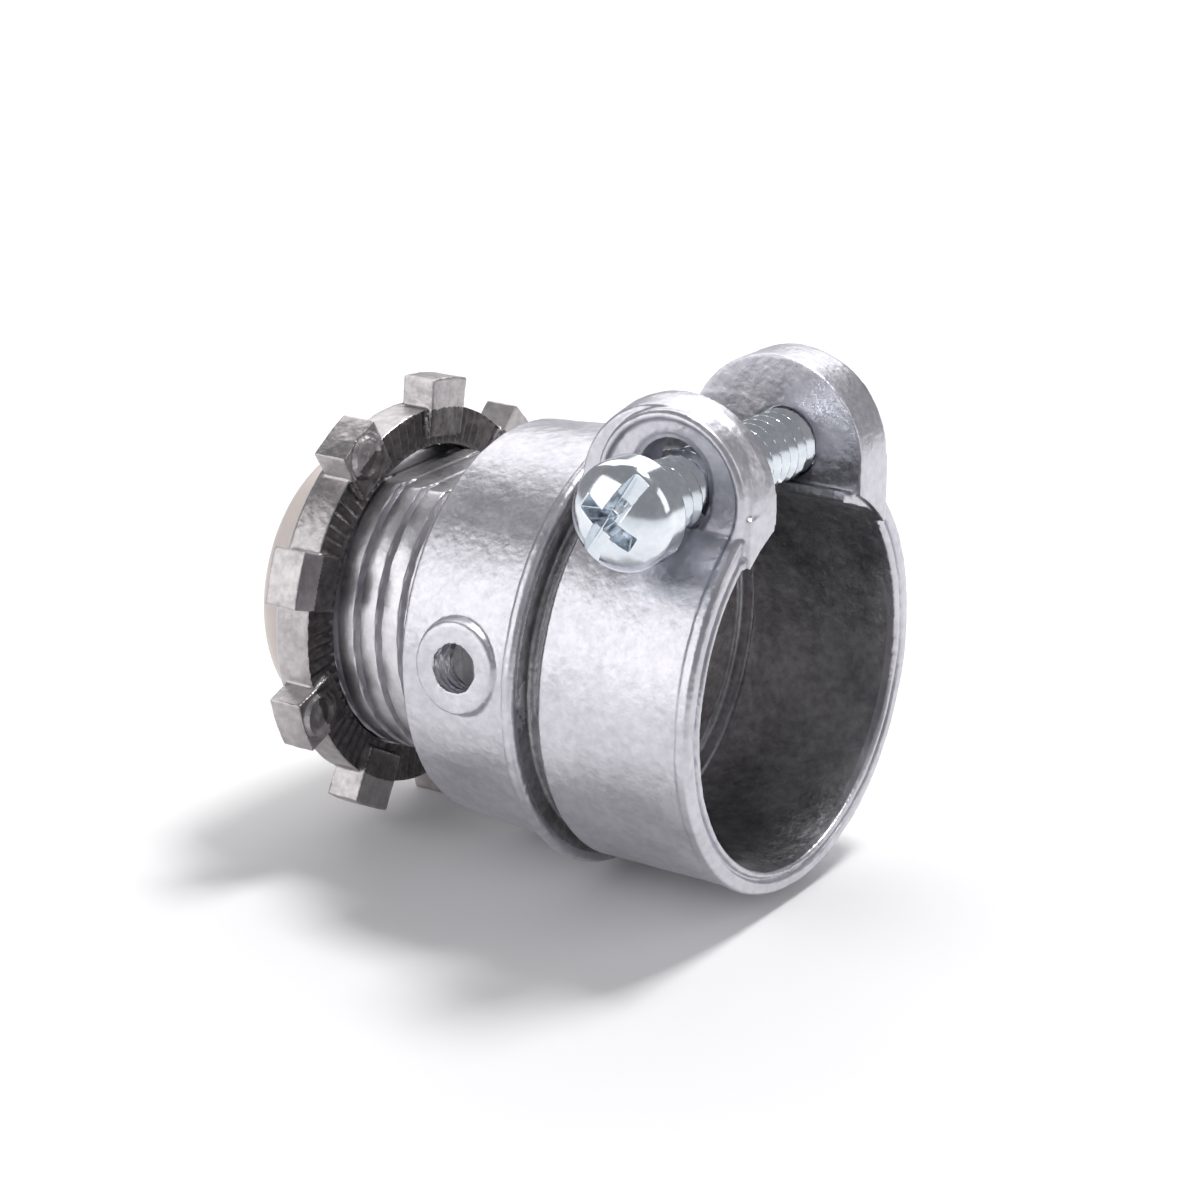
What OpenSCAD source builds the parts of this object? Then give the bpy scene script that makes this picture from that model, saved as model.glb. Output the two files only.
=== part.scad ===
// One-screw squeeze connector for flexible metal conduit, 1/2 inch trade size.
// +X runs along the bore towards the conduit mouth, +Z is up through the two ears, and the
// clamp screw lies along Y. The origin is on the bore axis, straight below the clamp screw.

/* [Clamp band] */
// Radius of the bore round its upper half
bore_r = 12.25; // [12.15:0.05:12.4]
// Radius of the cradle in which the conduit lies
cradle_r = 11.7; // [11.6:0.05:11.75]
// Thickness of the band's wall
band_wall = 1.6; // [1.4:0.05:1.7]
// From the clamp screw to the mouth face
mouth_x = 5.25; // [5.1:0.05:5.5]
// Angle below horizontal where the jaw bends
jaw_root_angle = 3; // [2:1:5]
// Angle from the vertical where the inner tongue ends
tongue_angle = 24; // [22:1:26]

/* [Ears] */
// Radius of both ears
ear_r = 6.5; // [6.3:0.1:6.7]
// Height of the ears' centre above the bore axis
ear_z = 12.75; // [12.6:0.05:12.9]
// Thickness of the near ear, with the clearance hole
near_ear_t = 3.4; // [3.2:0.1:3.6]
// Thickness of the far ear, with the tapped hole
far_ear_t = 3.4; // [3.2:0.1:3.6]
// From the axis plane to the near ear's inner face
near_ear_y = 4.8; // [4.7:0.1:5.0]
// From the axis plane to the far ear's inner face
far_ear_y = 5.8; // [5.7:0.1:6.0]

/* [Clamp screw] */
// Radius over the screw's thread
screw_r = 2.35; // [2.3:0.05:2.4]
// Height of the screw above the bore axis
screw_z = 13.5; // [13.45:0.05:13.6]
// Pitch of the screw's thread
screw_pitch = 1.058; // [1.0:0.01:1.1]
// Length under the head
screw_l = 19; // [18.5:0.5:19.5]
// Radius of the head
head_r = 3.5; // [3.4:0.05:3.55]
// From the head's underside to the near ear's face
head_standoff = 3.3; // [3.2:0.1:3.5]

/* [Hub and collar] */
// Length of the hub, from the wall seat to the collar
hub_l = 8.7; // [8.6:0.05:8.9]
// Radius of the hub at the wall seat
hub_r_seat = 13.5; // [13.3:0.05:13.6]
// Radius of the hub at the collar
hub_r_collar = 14.1; // [13.9:0.05:14.2]
// Radius of the collar
collar_r = 14.9; // [14.8:0.05:15.0]
// Width of the collar
collar_w = 1; // [0.9:0.05:1.1]
// Radius of the raised inspection boss
boss_r = 3.1; // [3.0:0.05:3.2]
// Radius of the inspection hole
inspection_r = 1.65; // [1.6:0.05:1.7]

/* [Male thread and locknut] */
// Radius over the male thread
thread_r = 10.5; // [10.45:0.05:10.6]
// Pitch of the male thread
thread_pitch = 1.814; // [1.8:0.002:1.82]
// Length of the thread from the wall seat
thread_l = 12.6; // [12.4:0.1:12.8]
// Locknut radius over its lugs
lug_r = 15.2; // [15.0:0.1:15.4]
// Locknut radius between its lugs
nut_r = 13.2; // [13.0:0.1:13.4]
// Clear distance from the lugs to the wall seat
wall_gap = 7.4; // [7.2:0.1:7.5]
// Thickness of a lug
lug_t = 2.55; // [2.4:0.05:2.7]

/* [Throat insulator] */
// Radius of the passage for the wires
throat_r = 7.6; // [7.5:0.1:7.8]
// Outer radius of the insulator's lip
lip_r = 10.1; // [9.9:0.1:10.2]
// How far the lip stands out past the thread
lip_l = 2.5; // [2.4:0.1:2.7]

/* [Hidden] */
$fn = 96;

far = 40;                             // longer than the whole fitting
seat_x = -16.9;                       // the shoulder that meets the enclosure wall
collar_x = seat_x + hub_l;
groove_x = collar_x + collar_w;       // groove between the collar and the band
lip_end_x = groove_x + 0.6;           // body side of the sawn slot
band_x = groove_x + 1.25;             // where band and jaw begin
band_r = bore_r + band_wall;
tongue_r = bore_r + 0.75;             // outside of the inner layer that forms the tongue
tongue_root = 47;                     // angle from the vertical where the tongue leaves the wall
tongue_bend = 9;                      // how far the tongue leans in under the screw
cradle_drop = 0.5;                    // the cradle's axis lies this far below the bore axis
cradle_half = 65;                     // half of the cradle's angle about the bottom
core_r = cradle_r - 1.2;              // first bore of the turned casting, before its final shape
rim_r = band_r + 0.15;                // raised rim at the mouth
groove_r = 13.1;
stop_x = seat_x + 2;                  // face that the conduit's end meets
hub_bore_r = bore_r - 0.25;           // the bore is a little tighter inside the hub
sleeve_r = 8.6;                       // bore of the threaded nose
thread_root_r = thread_r - 0.95;
flat_z = 9.35;                        // two flats along the thread
thread_end_x = seat_x - thread_l;
near_rim_r = 5.4;                     // raised rim about the near ear's hole
ear_x = -0.7;                         // the ears' centre lies a little behind the screw
near_face_y = -near_ear_y - near_ear_t;
head_y = near_face_y - head_standoff;
jaw_gap_angle = 0.2;                  // sliver of air at the jaw's root
slot_r = screw_r + 0.2;               // half the width of the near ear's hole
slot_rise = 0.95;                     // extra height of that hole for the jaw's swing
far_ear_angle = 28;                   // angle from the vertical of the far ear's inner face
boss_angle = 6.4;
boss_x = seat_x + 4.85;
boss_face_r = 14.15;                  // from the bore axis to the boss's flat top
lug_phase = 0.5;                      // angle of the first lug from +Y
lug_count = 9;

// Points of an arc of radius r about [cx, cy] from angle a to angle b.
function arc(cx, cy, r, a, b, n = 6) =
    [for (i = [0:n]) let (t = a + (b - a) * i / n) [cx + r * cos(t), cy + r * sin(t)]];

// Ridged outline of n thread turns that starts at x and climbs away from it.
function ridges(x, pitch, root, crest, n) =
    [for (i = [0:n - 1]) for (p = [[root, 0.04], [crest, 0.28], [crest, 0.56], [root, 0.8]])
        [p[0], x + (i + p[1]) * pitch]];

// Turns an outline of [radius, x] points about the X axis.
module turned(points) rotate([0, 90, 0]) rotate_extrude($fn = 128) polygon(points);

// A cylinder along X from x0 to x1.
module rod_x(r, x0, x1) translate([x0, 0, 0]) rotate([0, 90, 0]) cylinder(r = r, h = x1 - x0);

// A cylinder or cone along +Y that starts at [x, y, z].
module rod_y(x, y, z, r, h, r_end = -1)
    translate([x, y, z]) rotate([-90, 0, 0]) cylinder(r1 = r, r2 = r_end < 0 ? r : r_end, h = h);

// A flat shape in Y and Z, given as points, from x0 to x1.
module plate_yz(points, x0, x1)
    translate([x0, 0, 0]) rotate([90, 0, 90]) linear_extrude(x1 - x0) polygon(points);

// The wedge above the near horizontal, from the given root angle round to an angle from vertical.
module upper_wedge(root_angle, end_angle, x0, x1)
    plate_yz([[0, 0], [-far * cos(root_angle), -far * sin(root_angle)], [-far, far],
        [far * tan(end_angle), far]], x0, x1);

// The end of the band: two concentric rings with a fine witness groove between them.
function mouth_outline() = [[band_r, mouth_x - 0.9], [rim_r, mouth_x - 0.75],
    [rim_r, mouth_x - 0.25], [rim_r - 0.25, mouth_x],
    [tongue_r + 0.12, mouth_x], [tongue_r + 0.06, mouth_x - 0.22], [tongue_r - 0.06, mouth_x - 0.22],
    [tongue_r - 0.12, mouth_x]];

module body_casting() {
    turned(concat(
        [[sleeve_r, thread_end_x], [thread_root_r, thread_end_x]],
        ridges(thread_end_x, thread_pitch, thread_root_r, thread_r, 6),
        [[thread_root_r, seat_x]],
        arc(hub_r_seat - 0.35, seat_x + 0.35, 0.35, -90, 0),
        [[hub_r_collar, collar_x]],
        arc(collar_r - 0.35, collar_x + 0.35, 0.35, -60, 0, 3),
        arc(collar_r - 0.3, groove_x - 0.3, 0.3, 0, 90, 3),
        [[groove_r, groove_x], [groove_r, band_x], [band_r - 0.2, band_x], [band_r, band_x + 0.2]],
        mouth_outline(),
        [[core_r, mouth_x], [core_r, stop_x], [sleeve_r, stop_x]]));
}

// The free end of the inner layer, bent in a little so that it passes under the screw.
module tongue() {
    root_y = tongue_r * sin(tongue_root);
    root_z = tongue_r * cos(tongue_root);
    translate([0, root_y, root_z]) rotate([tongue_bend, 0, 0]) translate([0, -root_y, -root_z])
        intersection() {
            turned([[bore_r, band_x], [tongue_r, band_x], [tongue_r, mouth_x - 0.1],
                [tongue_r - 0.1, mouth_x], [bore_r, mouth_x]]);
            plate_yz([[0, 0], [far * tan(tongue_angle), far],
                [far * tan(tongue_root + 2), far]], lip_end_x, far);
        }
}

module far_ear() {
    rod_y(ear_x, far_ear_y, ear_z, ear_r, far_ear_t - 0.5);
    rod_y(ear_x, far_ear_y + far_ear_t - 0.5, ear_z, ear_r, 0.5, ear_r - 0.4);
    translate([ear_x - ear_r, far_ear_y, 8.2]) cube([2 * ear_r, far_ear_t - 0.3, ear_z - 8.2]);
}

// The wedge about the bottom in which the wall follows the cradle.
module cradle_wedge() plate_yz([[0, -cradle_drop], [far * sin(cradle_half), -far * cos(cradle_half)],
    [far, -far], [-far, -far], [-far * sin(cradle_half), -far * cos(cradle_half)]], -far, far);

module boss() rotate([-boss_angle, 0, 0]) rod_y(boss_x, -boss_face_r, 0, boss_r, 1.4);

module connector_body() color([0.70, 0.69, 0.73]) difference() {
    union() {
        difference() {
            union() {
                difference() {
                    body_casting();
                    upper_wedge(jaw_root_angle, far_ear_angle, lip_end_x, far);
                    for (side = [-1, 1])
                        translate([thread_end_x - 1, -far, side > 0 ? flat_z : -flat_z - far])
                            cube([thread_l + 0.4, 2 * far, far]);
                }
                far_ear();
                boss();
            }
            difference() {
                rod_x(bore_r, groove_x, far);
                cradle_wedge();
            }
            rod_x(hub_bore_r, stop_x, groove_x + 0.5);
            translate([0, 0, -cradle_drop]) rod_x(cradle_r, stop_x, far);
            rotate([-boss_angle, 0, 0]) rod_y(boss_x, -far, 0, inspection_r, far - 5);
        }
        tongue();
    }
    // tapped hole, which also scallops the tongue below the screw
    rod_y(0, far_ear_y - 3, screw_z, screw_r + 0.05, far_ear_t + 4);
}

// The near ear: it narrows towards a round boss about the screw, whose face is sunk in a rim.
module near_ear() {
    boss_end = near_ear_t - 1.3;
    difference() {
        union() {
            rod_y(ear_x, -near_ear_y - 0.9, ear_z, ear_r - 0.1, 0.9, ear_r);
            rod_y(ear_x, near_face_y + boss_end - 0.8, ear_z, ear_r - 0.8, 1.2, ear_r - 0.1);
            rod_y(0, near_face_y, screw_z, near_rim_r, near_ear_t - 0.6);
        }
        rod_y(0, near_face_y - 1, screw_z, near_rim_r - 0.5, 1.4);
    }
    translate([ear_x - ear_r + 0.6, near_face_y + 0.4, 8])
        cube([2 * ear_r - 0.9, near_ear_t - 0.4, ear_z - 8]);
}

module clamp_jaw() color([0.72, 0.71, 0.76]) difference() {
    union() {
        intersection() {
            turned(concat([[bore_r, band_x], [band_r - 0.2, band_x], [band_r, band_x + 0.2]],
                mouth_outline(), [[bore_r + 0.15, mouth_x], [bore_r, mouth_x - 0.15]]));
            upper_wedge(jaw_root_angle - jaw_gap_angle, 0, -far, far);
            translate([-far, -far, -far]) cube([2 * far, far - near_ear_y, 2 * far]);
        }
        near_ear();
    }
    rod_x(bore_r, -far, far);
    // stays clear of the collar and of the slot's far side while it swings
    translate([-far, -far, -far]) cube([far + groove_x + 0.15, 2 * far, 2 * far]);
    rod_x(groove_r + 1.7, -far, band_x);
    // clearance hole, taller than wide
    for (rise = [0, slot_rise]) rod_y(0, -far, screw_z + rise, slot_r, far);
    translate([-slot_r, -far, screw_z]) cube([2 * slot_r, far, slot_rise]);
}

module throat_insulator() color([0.80, 0.76, 0.76])
    turned(concat(
        [[throat_r, thread_end_x + 7], [sleeve_r, thread_end_x + 7], [sleeve_r, thread_end_x],
            [lip_r, thread_end_x]],
        arc(lip_r - 1.9, thread_end_x - lip_l + 1.9, 1.9, 0, -90, 8),
        arc(throat_r + 0.6, thread_end_x - lip_l + 0.6, 0.6, -90, -180, 4)));

module locknut() color([0.58, 0.55, 0.57]) {
    lug_x = seat_x - wall_gap - lug_t;
    ring_x = lug_x - 0.9;
    ring_end_x = seat_x - wall_gap - 0.3;
    difference() {
        union() {
            turned([[thread_r + 0.06, ring_x], [nut_r - 0.4, ring_x], [nut_r, ring_x + 0.5],
                [nut_r, ring_end_x - 0.3], [nut_r - 0.3, ring_end_x], [thread_r + 0.06, ring_end_x]]);
            intersection() {
                difference() {
                    rod_x(lug_r, lug_x, lug_x + lug_t);
                    rod_x(nut_r - 0.7, lug_x - 1, 0);
                }
                for (i = [1:lug_count]) rotate([lug_phase + i * 360 / lug_count, 0, 0])
                    plate_yz([[11, -1.8], [lug_r + 1, -1.95], [lug_r + 1, 1.95], [11, 1.8]],
                        lug_x - 1, lug_x + lug_t + 1);
            }
        }
        // fine radial teeth on the side that bites the enclosure wall
        for (i = [0:47]) rotate([i * 7.5, 0, 0])
            translate([ring_end_x - 0.22, -0.18, 10.8]) cube([1, 0.36, 2.4]);
    }
}

module clamp_screw() color([0.66, 0.70, 0.75]) {
    tip_y = head_y + screw_l;
    turns = 17;
    translate([0, 0, screw_z]) difference() {
        rotate([-90, 0, 0]) rotate_extrude() polygon(concat(
            [[0, head_y - 3.7]],
            arc(0, head_y + 1.15, 4.85, -90, -58, 5),
            arc(head_r - 0.9, head_y - 1.95, 0.9, -35, 0, 4),
            [[head_r, head_y - 0.25], [head_r - 0.25, head_y], [screw_r - 0.45, head_y]],
            ridges(head_y + 0.4, screw_pitch, screw_r - 0.45, screw_r, turns),
            [[screw_r - 0.45, tip_y - 0.5], [screw_r - 0.9, tip_y], [0, tip_y]]));
        // combination recess: a slot across and a shorter cross bar
        rotate([0, 20, 0]) {
            translate([-far / 2, head_y - 5, -0.55]) cube([far, 2.5, 1.1]);
            translate([-0.6, head_y - 5, -2.1]) cube([1.2, 3.2, 4.2]);
            translate([-2.1, head_y - 5, -0.6]) cube([4.2, 3.2, 1.2]);
        }
    }
}

connector_body();
clamp_jaw();
throat_insulator();
locknut();
clamp_screw();
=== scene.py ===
import math

import bmesh
import bpy
import numpy as np
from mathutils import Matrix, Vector, noise


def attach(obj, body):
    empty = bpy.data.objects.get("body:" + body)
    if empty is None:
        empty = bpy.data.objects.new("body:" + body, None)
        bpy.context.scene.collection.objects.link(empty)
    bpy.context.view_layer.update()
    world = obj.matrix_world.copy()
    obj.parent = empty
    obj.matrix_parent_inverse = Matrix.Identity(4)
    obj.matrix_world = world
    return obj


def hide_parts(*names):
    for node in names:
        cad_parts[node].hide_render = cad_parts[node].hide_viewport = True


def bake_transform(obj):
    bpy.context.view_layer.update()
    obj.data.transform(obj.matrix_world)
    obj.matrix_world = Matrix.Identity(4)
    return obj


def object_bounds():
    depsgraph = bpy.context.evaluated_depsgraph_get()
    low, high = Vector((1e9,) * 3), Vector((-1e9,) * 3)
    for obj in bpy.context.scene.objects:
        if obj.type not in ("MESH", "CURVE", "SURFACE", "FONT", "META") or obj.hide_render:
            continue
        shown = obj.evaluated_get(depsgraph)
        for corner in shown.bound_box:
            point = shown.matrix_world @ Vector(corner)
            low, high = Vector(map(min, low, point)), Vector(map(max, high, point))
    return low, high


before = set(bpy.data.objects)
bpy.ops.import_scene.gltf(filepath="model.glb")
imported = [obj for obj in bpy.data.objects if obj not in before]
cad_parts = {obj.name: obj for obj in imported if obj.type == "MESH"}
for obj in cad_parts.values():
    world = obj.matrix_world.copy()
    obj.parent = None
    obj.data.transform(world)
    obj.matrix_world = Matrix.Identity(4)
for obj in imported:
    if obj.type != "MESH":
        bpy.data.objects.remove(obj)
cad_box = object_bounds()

MM = 0.001

# ---------------------------------------------------------------- sizes, in millimetres
SEAT_X = -16.9            # shoulder that meets the enclosure wall
COLLAR_X, GROOVE_X, BAND_X, MOUTH_X = -8.2, -7.2, -5.95, 5.25
BAND_R, RIM_R, BAND_DROP = 13.95, 14.1, 0.1
BORE_R, BORE_DROP = 12.45, 0.2
NOSE_END_X, NOSE_BORE_R = -29.5, 8.6
THREAD_R, THREAD_ROOT_R, THREAD_PITCH, THREAD_FLAT = 10.5, 9.8, 1.814, 9.35
EAR_X, EAR_Z, EAR_R = -0.7, 12.75, 6.5
FAR_EAR_Y, FAR_EAR_T = 5.8, 3.75
NEAR_EAR_Y, NEAR_FACE_Y = -4.8, -8.2
SCREW_Z, SCREW_R, SCREW_ROOT_R, SCREW_PITCH = 13.5, 2.35, 1.82, 1.058
HEAD_Y, HEAD_R, TIP_Y = -11.5, 3.5, 7.5
HEAD_SIDE, DOME_H = 1.55, 2.15            # straight side of the screw's head, and the dome on it
RECESS_TURN = 57                          # the driver slot's turn from level, in degrees
BOSS_X, BOSS_TILT, BOSS_R, BOSS_FACE, HOLE_R = -12.05, 6.4, 3.1, 14.35, 1.65
LUG_COUNT, LUG_PHASE, LUG_R, NUT_R, NUT_BORE_R = 9, 0.5, 15.2, 13.2, 10.56
LUG_X0, LUG_X1, RING_X0, RING_X1 = -26.85, -24.3, -27.75, -24.6
TOOTH_COUNT, TOOTH_DEPTH = 90, 0.26
SPOT_LUGS, SPOT_R = (3, 5), 13.5          # the lugs with a round spot, and how far out it is
THROAT_R, LIP_R, LIP_L = 7.6, 10.1, 2.5
GAP_ANGLE = 28                            # far side of the band's gap, in degrees past vertical
EYE_HOLE_R, EYE_HOLE_RISE = 2.55, 0.95    # the near ear's oblong hole
ROUND = 384                               # segments of a large turned shape
LONG = 60                                 # longer than the whole fitting

CAST_VOXEL = 0.11
CAST_WAVES = [(3.0, 0.04), (0.8, 0.018), (0.35, 0.012)]
SHARP_ANGLE = 35


# ---------------------------------------------------------------- mesh helpers
def link(name, verts, faces):
    """A new object from points in millimetres, with its faces turned outwards."""
    mesh = bpy.data.meshes.new(name)
    mesh.from_pydata((np.asarray(verts, float) * MM).tolist(), [], faces)
    obj = bpy.data.objects.new(name, mesh)
    bpy.context.collection.objects.link(obj)
    bm = bmesh.new()
    bm.from_mesh(mesh)
    bmesh.ops.recalc_face_normals(bm, faces=bm.faces)
    bm.to_mesh(mesh)
    bm.free()
    return obj


def swept(name, loops, closed=True):
    """Joins rings of equal length, one after another; closed joins the last to the first."""
    loops = np.asarray(loops, float)
    rows, cols = loops.shape[:2]
    faces = []
    for i in range(rows if closed else rows - 1):
        a, b = i * cols, ((i + 1) % rows) * cols
        for j in range(cols):
            k = (j + 1) % cols
            faces.append((a + j, a + k, b + k, b + j))
    if not closed:
        faces += [tuple(range(cols))[::-1], tuple(range((rows - 1) * cols, rows * cols))]
    return link(name, loops.reshape(-1, 3), faces)


def lathe(name, profile, segments=ROUND, drop=0.0):
    """Turns a closed outline of (x, r) points about the X axis."""
    t = np.linspace(0, 2 * np.pi, segments, endpoint=False)
    loops = [np.c_[np.full(segments, x), r * np.cos(t), r * np.sin(t) - drop] for x, r in profile]
    return swept(name, loops)


def turned_y(name, profile, x, z, segments=128):
    """Turns (y, r) points about a line along Y; both ends are capped."""
    t = np.linspace(0, 2 * np.pi, segments, endpoint=False)
    loops = [np.c_[x + r * np.cos(t), np.full(segments, y), z + r * np.sin(t)] for y, r in profile]
    return swept(name, loops, closed=False)


def rod_x(name, r, x0, x1, drop=0.0):
    """A plain rod along X."""
    t = np.linspace(0, 2 * np.pi, ROUND, endpoint=False)
    loops = [np.c_[np.full(ROUND, x), r * np.cos(t), r * np.sin(t) - drop] for x in (x0, x1)]
    return swept(name, loops, closed=False)


def prism(name, points, x0, x1):
    """A flat (y, z) shape from x0 to x1."""
    return swept(name, [[(x, y, z) for y, z in points] for x in (x0, x1)], closed=False)


def box(name, x0, x1, y0, y1, z0, z1):
    return prism(name, [(y0, z0), (y1, z0), (y1, z1), (y0, z1)], x0, x1)


def applied(obj):
    """Bakes the object's modifiers into its mesh."""
    graph = bpy.context.evaluated_depsgraph_get()
    mesh = bpy.data.meshes.new_from_object(obj.evaluated_get(graph), depsgraph=graph)
    obj.modifiers.clear()
    old = obj.data
    obj.data = mesh
    bpy.data.meshes.remove(old)
    return obj


def cut(obj, *tools):
    """Takes the tools' shapes out of the object."""
    for tool in tools:
        mod = obj.modifiers.new("cut", "BOOLEAN")
        mod.operation, mod.object, mod.solver = "DIFFERENCE", tool, "EXACT"
    return applied(obj)


def discard(*objs):
    for obj in objs:
        bpy.data.objects.remove(obj)


def joined(name, parts):
    """One object from several; their meshes may overlap, and the voxel remesh fuses them."""
    bm = bmesh.new()
    for part in parts:
        bm.from_mesh(part.data)
    mesh = bpy.data.meshes.new(name)
    bm.to_mesh(mesh)
    bm.free()
    discard(*parts)
    obj = bpy.data.objects.new(name, mesh)
    bpy.context.collection.objects.link(obj)
    return obj


def fused(obj, voxel):
    """Fuses overlapping solids and softens the edges the way a casting's are."""
    mod = obj.modifiers.new("remesh", "REMESH")
    mod.mode, mod.voxel_size, mod.adaptivity = "VOXEL", voxel * MM, 0
    mod = obj.modifiers.new("smooth", "SMOOTH")
    mod.factor, mod.iterations = 0.4, 2
    applied(obj)
    return largest_island(obj)


def largest_island(obj):
    """Drops stray shells, so that only the solid's own skin is left."""
    bm = bmesh.new()
    bm.from_mesh(obj.data)
    left, islands = set(bm.verts), []
    while left:
        stack, island = [left.pop()], []
        while stack:
            v = stack.pop()
            island.append(v)
            for e in v.link_edges:
                w = e.other_vert(v)
                if w in left:
                    left.discard(w)
                    stack.append(w)
        islands.append(island)
    islands.sort(key=len)
    bmesh.ops.delete(bm, geom=[v for island in islands[:-1] for v in island], context="VERTS")
    bm.to_mesh(obj.data)
    bm.free()
    return obj


def points_of(obj):
    """The mesh's points and normals, in millimetres."""
    mesh = obj.data
    co = np.empty(len(mesh.vertices) * 3)
    mesh.vertices.foreach_get("co", co)
    no = np.empty(len(mesh.vertices) * 3)
    mesh.vertex_normals.foreach_get("vector", no)
    return co.reshape(-1, 3) / MM, no.reshape(-1, 3)


def set_points(obj, co):
    obj.data.vertices.foreach_set("co", (co * MM).ravel())
    obj.data.update()


def cast_skin(obj, waves, seed):
    """Moves the skin in and out by smooth noise; waves are (size, height) in millimetres."""
    co, no = points_of(obj)
    move = np.zeros(len(co))
    for n, (size, height) in enumerate(waves):
        shift = Vector((seed + 3.1 * n, seed - 1.7 * n, 5.3 * n))
        move += height * np.array([noise.noise(Vector(p) / size + shift) for p in co.tolist()])
    set_points(obj, co + no * move[:, None])
    return obj


def piece(obj, body, nodes, material, second=None, choose=None, bends=None):
    """Rides on the body, or, where bends is given, keeps its place baked into the mesh without being
    bent, and stands for the CAD nodes.

    Where choose picks a face, it gets the second material.
    """
    if bends:
        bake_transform(obj)
    else:
        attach(obj, body)
    if nodes:
        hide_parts(*nodes)
    obj.data.materials.clear()
    obj.data.materials.append(material)
    if second:
        obj.data.materials.append(second)
        mark_faces(obj, choose)
    obj.data.shade_smooth()
    obj.data.set_sharp_from_angle(angle=math.radians(SHARP_ANGLE))


def mark_faces(obj, choose):
    """Gives the object's second material to the faces that choose picks by centre and normal."""
    mesh = obj.data
    centre = np.empty(len(mesh.polygons) * 3)
    normal = np.empty(len(mesh.polygons) * 3)
    mesh.polygons.foreach_get("center", centre)
    mesh.polygons.foreach_get("normal", normal)
    chosen = choose(centre.reshape(-1, 3) / MM, normal.reshape(-1, 3))
    mesh.polygons.foreach_set("material_index", chosen.astype(np.int32))


def painted_bore_shade(c, n):
    """The bore, painted darker as shade, short of the lip at the mouth, which keeps the plain skin
    colour.
    """
    radius = np.hypot(c[:, 1], c[:, 2])
    inward = (c[:, 1] * n[:, 1] + c[:, 2] * n[:, 2]) / radius < -0.55
    return (inward & (radius < BORE_R + 0.35) | (radius < BORE_R)) & (c[:, 0] < MOUTH_X - 0.75)


def painted_bore_and_groove_shade(c, n):
    """The hub's bore and the groove between the collar and the band, both painted darker as shade."""
    radius = np.hypot(c[:, 1], c[:, 2])
    groove = (c[:, 0] > GROOVE_X - 0.02) & (c[:, 0] < BAND_X + 0.4) & (radius < 14.2)
    return painted_bore_shade(c, n) | groove


def nut_face_and_bore_shade(c, n):
    """The toothed side that bites the wall, painted darker, and the nut's bore, painted dark as shade.
    """
    radius = np.hypot(c[:, 1], c[:, 2])
    return (n[:, 0] > 0.35) & (radius < NUT_R - 0.05) | (radius < NUT_BORE_R + 0.1)


# ---------------------------------------------------------------- shapes
def thread_height(x, phi, start, pitch, groove, soft):
    """1 on a helical thread's crest and 0 in its groove; groove and soft are in turns."""
    u = ((x - start) / pitch - phi / (2 * np.pi)) % 1.0
    near = np.minimum(u, 1 - u)
    t = np.clip((near - groove) / soft, 0, 1)
    return t * t * (3 - 2 * t)


def make_nose():
    """The threaded nose: broad rounded ridges with narrow grooves, and a flat above and below."""
    phi = np.linspace(0, 2 * np.pi, ROUND, endpoint=False)
    x0, x1 = NOSE_END_X, SEAT_X + 0.3
    start, crown_h = x0 + 0.35, 0.09
    loops = []
    for x in np.linspace(x0, x1, 210):
        h = thread_height(x, phi, start, THREAD_PITCH, 0.03, 0.13)
        crown = crown_h * np.sin(np.pi * (((x - start) / THREAD_PITCH - phi / (2 * np.pi)) % 1))
        r = THREAD_ROOT_R + (THREAD_R - crown_h - THREAD_ROOT_R) * h + crown * h
        r = np.minimum(r, THREAD_R - 0.35 + (x - x0) * 1.2)
        flat = THREAD_FLAT / np.maximum(np.abs(np.sin(phi)), 0.2)
        r = np.minimum(r, flat + 0.03 * h)
        r = r + 0.02 * np.array([noise.noise(Vector((x * 0.9, math.cos(p) * 9, math.sin(p) * 9)))
                                 for p in phi])
        loops.append(np.c_[np.full(ROUND, x), r * np.cos(phi), r * np.sin(phi)])
    for x in np.linspace(SEAT_X + 2.2, x0, 40):
        loops.append(np.c_[np.full(ROUND, x), NOSE_BORE_R * np.cos(phi),
                           NOSE_BORE_R * np.sin(phi)])
    return swept("nose", loops)


def boss_rod(name, r_points, segments=96):
    """Turns (depth, r) points about the boss's axis; depth is measured from the bore axis."""
    obj = turned_y(name, [(-d, r) for d, r in r_points], 0, 0, segments)
    a = -math.radians(BOSS_TILT)
    co, _ = points_of(obj)
    y, z = co[:, 1].copy(), co[:, 2].copy()
    co[:, 0] += BOSS_X
    co[:, 1], co[:, 2] = y * math.cos(a) - z * math.sin(a), y * math.sin(a) + z * math.cos(a)
    set_points(obj, co)
    return obj


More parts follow.
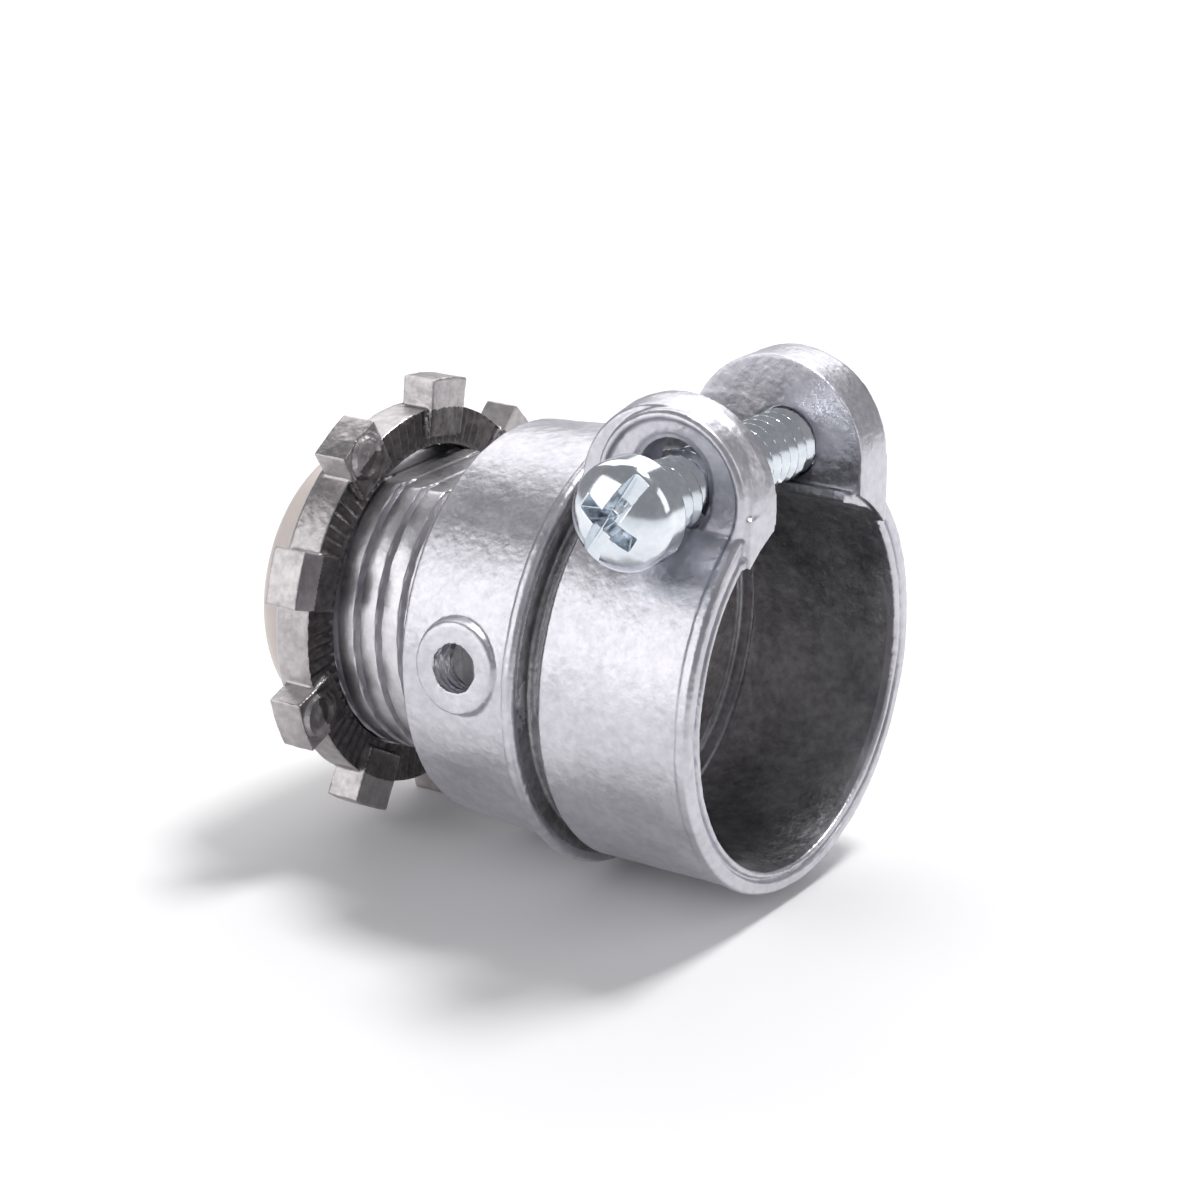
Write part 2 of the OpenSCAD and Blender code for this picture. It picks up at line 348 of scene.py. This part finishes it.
def make_hub():
    """Hub, collar and the neck that carries the band, with the raised inspection boss."""
    body = lathe("hub_body", [
        (SEAT_X, 9.3), (SEAT_X, 13.25), (SEAT_X + 0.22, 13.5), (-12.5, 13.83),
        (COLLAR_X - 0.15, 14.1), (COLLAR_X, 14.3), (COLLAR_X + 0.12, 14.75), (COLLAR_X + 0.4, 14.9),
        (GROOVE_X - 0.3, 14.9), (GROOVE_X - 0.05, 14.75), (GROOVE_X, 14.5), (GROOVE_X, 13.05),
        (BAND_X + 0.3, 13.05), (BAND_X + 0.3, 12.75), (BAND_X, 12.75), (BAND_X, 12.4),
        (BAND_X - 1, 12.4), (BAND_X - 1, 12.0),
        (SEAT_X + 2, 12.0), (SEAT_X + 2, 9.3)])
    root = 0.052                              # the jaw's slot ends this far below level, in radians
    slot = prism("slot", [(0, 0), (-LONG * math.cos(root), -LONG * math.sin(root)), (-LONG, LONG),
                          (LONG * math.tan(math.radians(GAP_ANGLE)), LONG)], GROOVE_X + 0.6, 0)
    cut(body, slot)
    boss = boss_rod("boss", [(12.6, BOSS_R + 0.12), (13.75, BOSS_R + 0.05),
                             (BOSS_FACE - 0.22, BOSS_R - 0.05), (BOSS_FACE - 0.06, BOSS_R - 0.16),
                             (BOSS_FACE, BOSS_R - 0.4)])
    hole = [(11, HOLE_R)]
    for turn in range(7):
        d = 11.3 + turn * 0.5
        hole += [(d, HOLE_R - 0.1), (d + 0.25, HOLE_R + 0.16)]
    bore = boss_rod("hole", hole + [(14.9, HOLE_R + 0.1), (16, HOLE_R + 0.35)])
    cut(body, bore)
    cut(boss, bore)
    obj = joined("hub", [body, boss])
    discard(slot, bore)
    return cast_skin(fused(obj, CAST_VOXEL), CAST_WAVES, 1.0)


def make_band():
    """The clamp band with both ears and the tongue, in one skin."""
    bore = rod_x("bore", BORE_R, -LONG, LONG, BORE_DROP)
    wide = rod_x("wide", BORE_R + 0.2, MOUTH_X - 0.12, LONG, BORE_DROP)
    slope = math.tan(math.radians(GAP_ANGLE))
    gap = prism("gap", [(NEAR_EAR_Y, 8), (NEAR_EAR_Y, LONG), (LONG * slope, LONG),
                        (8 * slope, 8)], -LONG, LONG)
    ring = lathe("ring", [
        (BAND_X, 12.1), (BAND_X, BAND_R - 0.2), (BAND_X + 0.2, BAND_R), (4.2, BAND_R - 0.03),
        (4.42, RIM_R - 0.02), (4.95, RIM_R), (MOUTH_X - 0.03, RIM_R - 0.2), (MOUTH_X, RIM_R - 0.4),
        (MOUTH_X, 13.25), (MOUTH_X - 0.42, 13.12), (MOUTH_X - 0.42, 12.98), (MOUTH_X, 12.87),
        (MOUTH_X, 12.1)], drop=BAND_DROP)
    cut(ring, bore, wide, gap)

    far = turned_y("far_ear", [(FAR_EAR_Y, EAR_R), (FAR_EAR_Y + FAR_EAR_T - 0.5, EAR_R),
                               (FAR_EAR_Y + FAR_EAR_T - 0.15, EAR_R - 0.15),
                               (FAR_EAR_Y + FAR_EAR_T, EAR_R - 0.4)], EAR_X, EAR_Z)
    far_foot = prism("far_foot", [(FAR_EAR_Y, 8.2), (FAR_EAR_Y, EAR_Z),
                                  (FAR_EAR_Y + FAR_EAR_T - 0.2, EAR_Z),
                                  (FAR_EAR_Y + FAR_EAR_T - 0.2, 8.2)], EAR_X - EAR_R, EAR_X + EAR_R)
    tapped = turned_y("tapped", [(2.5, SCREW_R + 0.06), (12, SCREW_R + 0.06)], 0, SCREW_Z)
    cut(far, bore, tapped)
    cut(far_foot, bore, tapped)

    flange = turned_y("flange", [(NEAR_EAR_Y, EAR_R), (-5.6, EAR_R), (-7.35, EAR_R - 0.3),
                                 (-7.45, EAR_R - 0.45), (-7.45, 4)], EAR_X, EAR_Z)
    eye = turned_y("eye", [(-6, 5.35), (NEAR_FACE_Y + 0.25, 5.35), (NEAR_FACE_Y, 5.1),
                           (NEAR_FACE_Y, 2)], 0, SCREW_Z)
    foot = box("foot", EAR_X - EAR_R + 0.3, EAR_X + EAR_R - 0.15, NEAR_FACE_Y + 0.42, NEAR_EAR_Y,
               8, EAR_Z)
    recess = turned_y("recess", [(-LONG, 4.95), (NEAR_FACE_Y - 0.1, 4.95),
                                 (NEAR_FACE_Y + 0.4, 4.7)], 0, SCREW_Z)
    hole = oblong_y("hole", EYE_HOLE_R, EYE_HOLE_RISE, -LONG, 0)
    sink = oblong_y("sink", EYE_HOLE_R + 0.4, EYE_HOLE_RISE, -LONG, NEAR_FACE_Y + 0.55)
    behind = box("behind", -LONG, GROOVE_X + 0.15, -LONG, 0, -LONG, LONG)
    collar = rod_x("collar_room", 14.95, -LONG, BAND_X)
    for part in (flange, eye, foot):
        cut(part, bore, recess, hole, sink, behind, collar)

    tongue = make_tongue()
    cut(tongue, tapped)
    obj = joined("band", [ring, far, far_foot, flange, eye, foot, tongue])
    discard(bore, wide, gap, tapped, recess, hole, sink, behind, collar)
    return cast_skin(fused(obj, CAST_VOXEL), CAST_WAVES, 4.0)


def oblong_y(name, r, rise, y0, y1):
    """A rod along Y whose section is taller than wide by rise."""
    t = np.linspace(0, 2 * np.pi, 96, endpoint=False)
    z = SCREW_Z + r * np.sin(t) + np.where(np.sin(t) > 0, rise, 0)
    return swept(name, [np.c_[r * np.cos(t), np.full(96, y), z] for y in (y0, y1)], closed=False)


def make_tongue():
    """The inner layer's free end: it leaves the bore and leans in under the screw."""
    a0, a1, lean, root = (math.radians(v) for v in (23, 52, 9, 47))
    inner, outer = BORE_R, 13.15
    pivot_y, pivot_z = outer * math.sin(root), outer * math.cos(root)
    outline = [(BAND_X, inner), (BAND_X, outer), (MOUTH_X - 0.15, outer), (MOUTH_X, outer - 0.15),
               (MOUTH_X, inner)]
    loops = []
    for a in np.linspace(a0, a1, 40):
        loop = []
        for x, r in outline:
            y, z = r * math.sin(a) - pivot_y, r * math.cos(a) - BORE_DROP * 0.5 - pivot_z
            turn = lean * min(1.0, max(0.0, (a1 - a) / (a1 - a0) * 1.6))
            loop.append((x, pivot_y + y * math.cos(turn) - z * math.sin(turn),
                         pivot_z + y * math.sin(turn) + z * math.cos(turn)))
        loops.append(loop)
    return swept("tongue", loops, closed=False)


def split_band(band):
    """Parts the finished skin at the bottom of the mouth into the jaw's side and the far side."""
    lean = math.radians(8)
    normal = Vector((0, math.cos(lean), math.sin(lean)))
    halves = []
    for name, keep_near in (("clamp_jaw_band", True), ("clamp_far_band", False)):
        obj = bpy.data.objects.new(name, band.data.copy())
        bpy.context.collection.objects.link(obj)
        bm = bmesh.new()
        bm.from_mesh(obj.data)
        bmesh.ops.bisect_plane(bm, geom=bm.verts[:] + bm.edges[:] + bm.faces[:], dist=1e-7,
                               plane_co=(0, 0, 0), plane_no=normal,
                               clear_outer=keep_near, clear_inner=not keep_near)
        bmesh.ops.holes_fill(bm, edges=[e for e in bm.edges if e.is_boundary], sides=0)
        bm.to_mesh(obj.data)
        bm.free()
        halves.append(obj)
    discard(band)
    return halves


def make_nut():
    """The locknut: lugs on a ring, teeth on the side towards the hub, and two plain round spots."""
    ring = lathe("nut_ring", [(RING_X0, NUT_BORE_R), (RING_X0, NUT_R - 0.5), (RING_X0 + 0.5, NUT_R),
                              (RING_X1 - 0.15, NUT_R), (RING_X1, NUT_R - 0.15), (RING_X1, NUT_BORE_R)])
    parts = [ring]
    for i in range(LUG_COUNT):
        a = math.radians(LUG_PHASE + i * 360 / LUG_COUNT)
        c, s = math.cos(a), math.sin(a)
        top = [(math.sqrt(LUG_R ** 2 - w * w), w) for w in np.linspace(-1.92, 1.92, 9)]
        outline = [(11.2, -1.8)] + top + [(11.2, 1.8)]
        points = [(r * c - w * s, r * s + w * c) for r, w in outline]
        parts.append(prism("lug", points, LUG_X0, LUG_X1))
    obj = fused(joined("locknut_ring", parts), 0.105)
    co, no = points_of(obj)
    radius, angle = np.hypot(co[:, 1], co[:, 2]), np.arctan2(co[:, 2], co[:, 1])
    face = np.clip((no[:, 0] - 0.6) / 0.3, 0, 1) * (np.abs(co[:, 0] - RING_X1) < 0.25)
    teeth = np.abs(((angle * TOOTH_COUNT / (2 * np.pi)) % 1) - 0.5) * 2
    span = np.clip((radius - 10.6) / 0.2, 0, 1) * np.clip((13.4 - radius) / 0.4, 0, 1)
    co[:, 0] -= TOOTH_DEPTH * (1 - teeth) * face * span
    for lug in SPOT_LUGS:
        a = math.radians(LUG_PHASE + lug * 360 / LUG_COUNT)
        y, z = SPOT_R * math.cos(a), SPOT_R * math.sin(a)
        d = np.hypot(co[:, 1] - y, co[:, 2] - z)
        top = np.clip((no[:, 0] - 0.5) / 0.4, 0, 1) * (co[:, 0] > RING_X1 - 0.6)
        flat = np.clip((1.75 - d) / 0.15, 0, 1) * top
        ridge, dot = np.exp(-((d - 1.3) / 0.16) ** 2), np.exp(-(d / 0.35) ** 2)
        level = LUG_X1 - 0.12 + 0.3 * ridge + 0.14 * dot
        co[:, 0] += (level - co[:, 0]) * flat
    set_points(obj, co)
    return cast_skin(obj, [(1.6, 0.04), (0.5, 0.02)], 9.0)


def make_insulator():
    """The sleeve that lines the nose, with a rounded lip at its end."""
    def arc(cx, cr, r, a0, a1, n):
        angles = [math.radians(a0 + (a1 - a0) * i / n) for i in range(n + 1)]
        return [(cx + r * math.cos(t), cr + r * math.sin(t)) for t in angles]

    end, sleeve_r = NOSE_END_X - LIP_L, 8.55
    small, outer, inner = 0.15, 1.9, 0.7      # radii of the lip's three roundings
    outline = [(NOSE_END_X + 7, THROAT_R), (NOSE_END_X + 7, sleeve_r), (NOSE_END_X, sleeve_r),
               (NOSE_END_X, LIP_R - small)]
    outline += arc(NOSE_END_X - small, LIP_R - small, small, 0, 90, 3)
    outline += arc(end + outer, LIP_R - outer, outer, 90, 180, 16)
    outline += arc(end + inner, THROAT_R + inner, inner, 180, 270, 8)
    outline += [(x, THROAT_R) for x in np.linspace(end + 1.2, NOSE_END_X + 6.5, 12)]
    return lathe("throat_insulator_sleeve", outline, 256)


def make_screw():
    """Pan head with a combination slot and cross recess, and a helical machine thread."""
    apex = HEAD_Y - HEAD_SIDE - DOME_H
    dome = [(HEAD_Y - HEAD_SIDE - DOME_H * math.sin(t), HEAD_R * math.cos(t))
            for t in np.linspace(0, np.pi / 2, 29)[:-1]]
    head = turned_y("head", [(HEAD_Y + 0.3, 1.6), (HEAD_Y, 1.7), (HEAD_Y, HEAD_R - 0.18),
                             (HEAD_Y - 0.15, HEAD_R)] + dome + [(apex, 0.1)], 0, SCREW_Z, 160)

    def wedge(name, top, depth, floor, turn):
        """A straight-sided recess; top and floor are (half length, half width)."""
        a = math.radians(turn)
        loops = []
        for y, (long, wide) in ((apex - 1, top), (apex, top), (apex + depth, floor)):
            loops.append([(u * math.cos(a) - v * math.sin(a), y,
                           SCREW_Z + u * math.sin(a) + v * math.cos(a))
                          for u, v in ((-long, -wide), (long, -wide), (long, wide), (-long, wide))])
        return swept(name, loops, closed=False)

    tools = [wedge("slot", (6, 0.66), 1.45, (6, 0.56), RECESS_TURN),
             wedge("cross_a", (2.1, 0.6), 2.3, (0.9, 0.4), RECESS_TURN),
             wedge("cross_b", (2.35, 0.58), 2.3, (0.9, 0.4), RECESS_TURN + 90)]
    cut(head, *tools)
    discard(*tools)
    fused(head, 0.05)

    phi = np.linspace(0, 2 * np.pi, 96, endpoint=False)
    loops = []
    for y in np.linspace(HEAD_Y - 0.6, TIP_Y, 330):
        h = 1 - np.abs((((y / SCREW_PITCH) + phi / (2 * np.pi)) % 1.0) * 2 - 1)
        h = np.clip((h - 0.08) / 0.84, 0, 1)
        r = SCREW_ROOT_R + (SCREW_R - SCREW_ROOT_R) * h
        r = np.minimum(r, SCREW_ROOT_R - 0.3 + (TIP_Y - y) * 0.9)
        r = np.where(y < HEAD_Y + 0.25, SCREW_ROOT_R, r)
        loops.append(np.c_[r * np.cos(phi), np.full(96, y), SCREW_Z + r * np.sin(phi)])
    shank = swept("shank", loops, closed=False)
    return joined("clamp_screw_whole", [head, shank])


# ---------------------------------------------------------------- materials
def node_tree(name):
    """A new material, its node tree and its main shader."""
    mat = bpy.data.materials.new(name)
    mat.use_nodes = True
    tree = mat.node_tree
    return mat, tree, tree.nodes["Principled BSDF"]


def noise_node(tree, coords, scale, detail, rough):
    node = tree.nodes.new("ShaderNodeTexNoise")
    node.inputs["Scale"].default_value = scale
    node.inputs["Detail"].default_value = detail
    node.inputs["Roughness"].default_value = rough
    tree.links.new(coords, node.inputs["Vector"])
    return node.outputs["Fac"]


def ramp(tree, fac, low, high):
    """Goes from low to high; each is (position, grey) or (position, colour)."""
    node = tree.nodes.new("ShaderNodeValToRGB")
    for element, (pos, value) in zip(node.color_ramp.elements, (low, high)):
        element.position = pos
        element.color = (*value, 1) if isinstance(value, tuple) else (value, value, value, 1)
    tree.links.new(fac, node.inputs["Fac"])
    return node.outputs["Color"]


def blended(tree, a, b):
    """The even mix of two values."""
    node = tree.nodes.new("ShaderNodeMix")
    node.data_type = "RGBA"
    node.inputs[0].default_value = 0.5
    tree.links.new(a, node.inputs[6])
    tree.links.new(b, node.inputs[7])
    return node.outputs[2]


def bumped(tree, shader, heights):
    """Chains bumps; heights are (value, distance in millimetres)."""
    normal = None
    for value, distance in heights:
        node = tree.nodes.new("ShaderNodeBump")
        node.inputs["Strength"].default_value = 1.0
        node.inputs["Distance"].default_value = distance * MM
        tree.links.new(value, node.inputs["Height"])
        if normal is not None:
            tree.links.new(normal, node.inputs["Normal"])
        normal = node.outputs["Normal"]
    tree.links.new(normal, shader.inputs["Normal"])


def metal(name, light, dark, rough, grain, blotch=(0.42, 0.62)):
    """Cast or plated metal: mottled colour, uneven gloss and a fine grain (its depth in mm)."""
    mat, tree, shader = node_tree(name)
    coords = tree.nodes.new("ShaderNodeTexCoord").outputs["Object"]
    broad = noise_node(tree, coords, 260, 4, 0.6)
    fine = noise_node(tree, coords, 1500, 3, 0.6)
    speck = noise_node(tree, coords, 4200, 2, 0.5)
    tree.links.new(ramp(tree, blended(tree, broad, fine), (blotch[0], dark), (blotch[1], light)),
                   shader.inputs["Base Color"])
    tree.links.new(ramp(tree, blended(tree, broad, speck), (0.35, rough[0]), (0.65, rough[1])),
                   shader.inputs["Roughness"])
    shader.inputs["Metallic"].default_value = 1.0
    bumped(tree, shader, [(noise_node(tree, coords, 1100, 3, 0.6), grain), (speck, grain * 0.4)])
    return mat


def plastic(name, light, dark):
    """Moulded plastic with a faint depth and an uneven gloss."""
    mat, tree, shader = node_tree(name)
    coords = tree.nodes.new("ShaderNodeTexCoord").outputs["Object"]
    broad = noise_node(tree, coords, 180, 3, 0.5)
    fine = noise_node(tree, coords, 2500, 2, 0.5)
    tree.links.new(ramp(tree, broad, (0.3, dark), (0.7, light)), shader.inputs["Base Color"])
    tree.links.new(ramp(tree, fine, (0.3, 0.32), (0.7, 0.46)), shader.inputs["Roughness"])
    shader.inputs["Subsurface Weight"].default_value = 0.15
    shader.inputs["Subsurface Radius"].default_value = (0.0012, 0.001, 0.0009)
    shader.inputs["Subsurface Scale"].default_value = 1.0
    bumped(tree, shader, [(fine, 0.006), (broad, 0.02)])
    return mat


ZINC = metal("cast_zinc_skin", (0.67, 0.655, 0.70), (0.53, 0.525, 0.565), (0.29, 0.43), 0.035,
             (0.38, 0.60))
# Darker zinc painted inside the bores and the collar groove: this is painted shade.
SHADE_PAINTED_ZINC = metal("cast_zinc_painted_shade", (0.50, 0.49, 0.51), (0.25, 0.25, 0.26), (0.36, 0.58), 0.05,
               (0.37, 0.66))
THREAD = metal("cast_zinc_thread", (0.78, 0.77, 0.80), (0.63, 0.62, 0.65), (0.28, 0.42), 0.02)
NUT = metal("locknut_cast", (0.56, 0.53, 0.54), (0.36, 0.34, 0.34), (0.28, 0.46), 0.04,
            (0.36, 0.62))
# Near-black zinc for the nut's toothed side and for its bore; in the bore it is painted shade.
NUT_FACE_AND_BORE_SHADE = metal("locknut_dark_face_and_bore_shade", (0.20, 0.185, 0.185), (0.085, 0.08, 0.08), (0.34, 0.55),
                 0.05, (0.38, 0.62))
STEEL = metal("plated_steel_bright", (0.84, 0.875, 0.92), (0.70, 0.75, 0.80), (0.1, 0.2), 0.004)
IVORY = plastic("ivory_plastic", (0.70, 0.63, 0.60), (0.60, 0.535, 0.505))


# ---------------------------------------------------------------- pieces
piece(make_nose(), "body", [], THREAD)
# The hub's bore and the collar groove get the darker zinc, which is painted shade.
piece(make_hub(), "body", ["connector_body"], ZINC, SHADE_PAINTED_ZINC, painted_bore_and_groove_shade)
jaw_side, far_side = split_band(make_band())
# The band's bore gets the painted shade.
piece(far_side, "body", [], ZINC, SHADE_PAINTED_ZINC, painted_bore_shade)
piece(jaw_side, "body", ["clamp_jaw"], ZINC, SHADE_PAINTED_ZINC, painted_bore_shade,
      bends=("jaw", (0, -0.01315, -0.0028), (0, -0.01315, 0.0016)))
# The nut's bore gets painted shade, and its toothed side is painted darker.
piece(make_nut(), "locknut", ["locknut"], NUT, NUT_FACE_AND_BORE_SHADE, nut_face_and_bore_shade)
piece(make_insulator(), "body", ["throat_insulator"], IVORY)
piece(make_screw(), "screw", ["clamp_screw"], STEEL)

# ---------------------------------------------------------------- camera
CAMERA_AZIMUTH, CAMERA_ELEVATION = 34.03, 19.79
CAMERA_DISTANCE = 200 * MM
CAMERA_PIVOT = Vector((-11.92, 0, 0)) * MM
CAMERA_YAW, CAMERA_PITCH = 0.376, 0.556       # small turns that frame the part, in degrees


def towards(azimuth, elevation):
    """The unit vector from the part towards an azimuth and elevation in degrees."""
    a, e = math.radians(azimuth), math.radians(elevation)
    return Vector((math.sin(a) * math.cos(e), -math.cos(a) * math.cos(e), math.sin(e)))


camera = bpy.data.objects.new("camera", bpy.data.cameras.new("camera"))
bpy.context.collection.objects.link(camera)
camera.location = CAMERA_PIVOT + towards(CAMERA_AZIMUTH, CAMERA_ELEVATION) * CAMERA_DISTANCE
camera.rotation_euler = (math.radians(90 - CAMERA_ELEVATION + CAMERA_PITCH), 0,
                         math.radians(CAMERA_AZIMUTH) - math.radians(CAMERA_YAW))
camera.data.sensor_width = 36
camera.data.lens = 89.7
camera.data.clip_start = 0.01
bpy.context.scene.camera = camera

# ---------------------------------------------------------------- floor and light
FLOOR_Z = cad_box[0][2] / MM
FLOOR_HALF = 3000
floor = link("floor", [(x * FLOOR_HALF, y * FLOOR_HALF, FLOOR_Z)
                       for x, y in ((-1, -1), (1, -1), (1, 1), (-1, 1))], [(0, 1, 2, 3)])
floor_white, _, floor_shader = node_tree("floor_white")
floor_shader.inputs["Base Color"].default_value = (0.93, 0.93, 0.935, 1)
floor_shader.inputs["Roughness"].default_value = 0.9
floor.data.materials.append(floor_white)


def softbox(name, azimuth, elevation, distance, size, watts):
    """A rectangular light that faces the part; sizes in metres."""
    back = towards(azimuth, elevation)
    light = bpy.data.lights.new(name, "AREA")
    light.shape, light.size, light.size_y, light.energy = "RECTANGLE", size[0], size[1], watts
    obj = bpy.data.objects.new(name, light)
    bpy.context.collection.objects.link(obj)
    obj.location = Vector((-0.012, 0, 0)) + back * distance
    obj.rotation_euler = back.to_track_quat("Z", "Y").to_euler()


softbox("front_left", -34, 20, 0.6, (0.65, 0.5), 1.45)
softbox("back_left", 214, 42, 0.6, (0.6, 0.45), 1.25)
softbox("high", 160, 68, 0.7, (0.16, 0.16), 3.0)
softbox("right", 112, 25, 0.6, (0.3, 0.4), 0.4)

world = bpy.data.worlds.new("studio")
world.use_nodes = True
world.node_tree.nodes["Background"].inputs["Color"].default_value = (0.30, 0.30, 0.31, 1)
bpy.context.scene.world = world
bpy.context.scene.view_settings.view_transform = "Standard"
